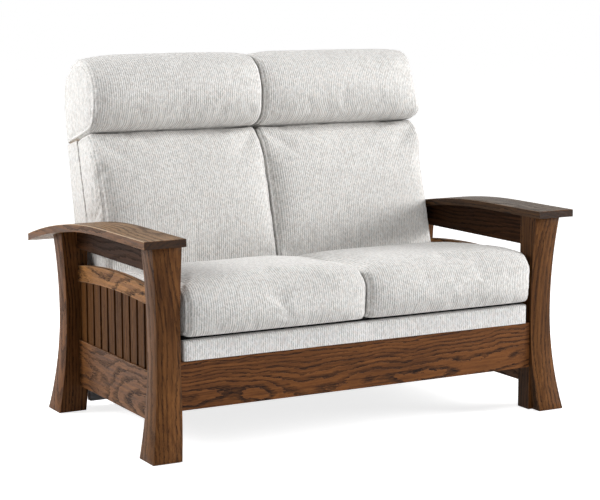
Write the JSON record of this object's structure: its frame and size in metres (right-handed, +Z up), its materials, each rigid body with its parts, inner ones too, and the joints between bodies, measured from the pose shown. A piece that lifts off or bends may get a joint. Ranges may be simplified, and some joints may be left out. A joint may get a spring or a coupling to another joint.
{
  "type": "mission settle",
  "caption": "Two-seat oak settle with slatted arched end panels, flared legs, flat falling arms and a leaning upholstered back over loose seat cushions.",
  "frame": {"origin": "on the floor under the middle of the whole settle: bottom centre of its bounding box", "axes": "+X across the settle towards a sitter's left hand, +Y from the front to the back, +Z up"},
  "size_m": [1.457, 0.9392, 1.1131],
  "materials": {
    "stained_oak": "dark stained oak, satin",
    "frame_wood": "bare hardwood and plywood, matt",
    "woven_upholstery": "pale ribbed weave",
    "dark_lining": "black lining and webbing",
    "plated_steel": "zinc plated",
    "glide_plastic": "moulded"
  },
  "bodies": {
    "settle_frame": {"arched_side_rail_left": "stained_oak", "arched_side_rail_right": "stained_oak", "arm_dowels": "frame_wood", "arm_left": "stained_oak", "arm_right": "stained_oak", "back_brace_bolts": "plated_steel", "back_brace_left": "frame_wood", "back_brace_right": "frame_wood", "back_centre_post": "frame_wood", "back_cushion_left": "woven_upholstery", "back_cushion_right": "woven_upholstery", "back_foot_rail": "dark_lining", "back_lower_rail": "frame_wood", "back_middle_rail": "frame_wood", "back_side_board_left": "frame_wood", "back_side_board_right": "frame_wood", "back_side_cover_left": "woven_upholstery", "back_side_cover_right": "woven_upholstery", "back_top_rail": "frame_wood", "back_webbing": "dark_lining", "corner_blocks": "frame_wood", "dust_cover": "dark_lining", "end_panel_bolts": "plated_steel", "end_panel_washers": "plated_steel", "foot_glides": "glide_plastic", "front_band": "woven_upholstery", "front_leg_left": "stained_oak", "front_leg_right": "stained_oak", "front_rail": "stained_oak", "front_rail_screws": "plated_steel", "head_cushion_left": "woven_upholstery", "head_cushion_right": "woven_upholstery", "lower_side_rail_left": "stained_oak", "lower_side_rail_right": "stained_oak", "outside_back": "woven_upholstery", "rear_leg_left": "stained_oak", "rear_leg_right": "stained_oak", "seat_centre_board": "frame_wood", "seat_deck_pad": "dark_lining", "seat_front_board": "frame_wood", "seat_rear_board": "frame_wood", "seat_side_board_left": "frame_wood", "seat_side_board_right": "frame_wood", "seat_springs": "plated_steel", "side_cleat_left": "frame_wood", "side_cleat_right": "frame_wood", "side_slats_left": "stained_oak", "side_slats_right": "stained_oak", "spring_clips": "plated_steel", "upper_side_rail_left": "stained_oak", "upper_side_rail_right": "stained_oak"},
    "seat_cushion_left": {"seat_cushion_left": "woven_upholstery"},
    "seat_cushion_right": {"seat_cushion_right": "woven_upholstery"}
  },
  "joints": [
    {"name": "seat_cushion_left_lift", "type": "slide", "parent": "settle_frame", "child": "seat_cushion_left", "axis": [0, -0.342, 0.9397], "range_m": [0, 0.35]},
    {"name": "seat_cushion_right_lift", "type": "slide", "parent": "settle_frame", "child": "seat_cushion_right", "axis": [0, -0.342, 0.9397], "range_m": [0, 0.35]}
  ]
}
